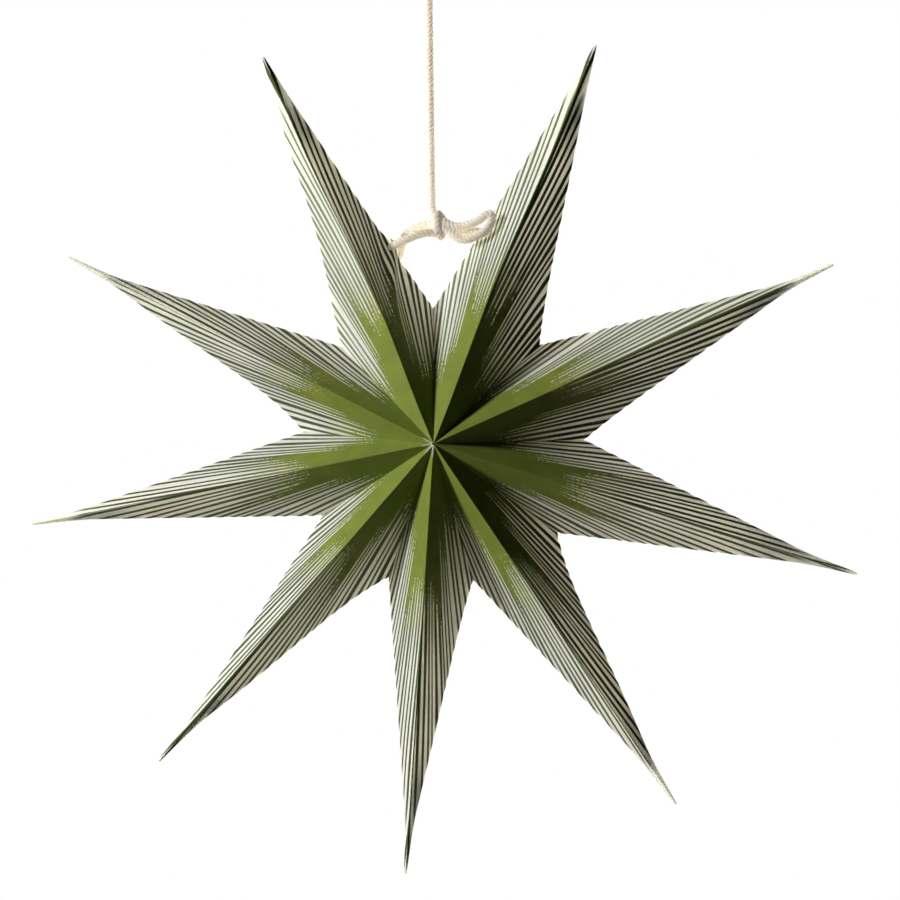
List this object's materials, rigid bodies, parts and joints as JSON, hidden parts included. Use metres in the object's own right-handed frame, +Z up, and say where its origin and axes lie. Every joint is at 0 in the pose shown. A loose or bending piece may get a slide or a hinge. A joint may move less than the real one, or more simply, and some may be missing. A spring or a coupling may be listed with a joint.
{
  "type": "folded paper star",
  "caption": "Hanging folded paper star: hollow printed points glued side by side into a ring, closed with tape and tied to a cotton cord.",
  "frame": {"origin": "where a hook carries the hanging loop, on the inside of the loop's top", "axes": "+Z up along the plumb cord, -Y towards the viewer of the printed front, the star's points lie in the XZ plane"},
  "size_m": [0.58, 0.1196, 0.6683],
  "materials": {
    "printed_paper": "matt cotton paper printed green with fine stripes",
    "paper_tape": "matt brown paper tape",
    "cotton_cord": "undyed twisted cotton"
  },
  "bodies": {
    "root": {"point_1": "printed_paper", "point_2": "printed_paper", "point_3": "printed_paper", "point_4": "printed_paper", "point_5": "printed_paper", "point_6": "printed_paper", "point_7": "printed_paper", "point_8": "printed_paper", "point_9": "printed_paper", "closing_tape": "paper_tape", "hanging_cord": "cotton_cord", "hanging_loop": "cotton_cord", "loop_knot": "cotton_cord", "tie_knot": "cotton_cord", "tie_cord_left": "cotton_cord", "tie_cord_right": "cotton_cord", "stop_knot": "cotton_cord", "bow_loop": "cotton_cord"}
  },
  "joints": []
}
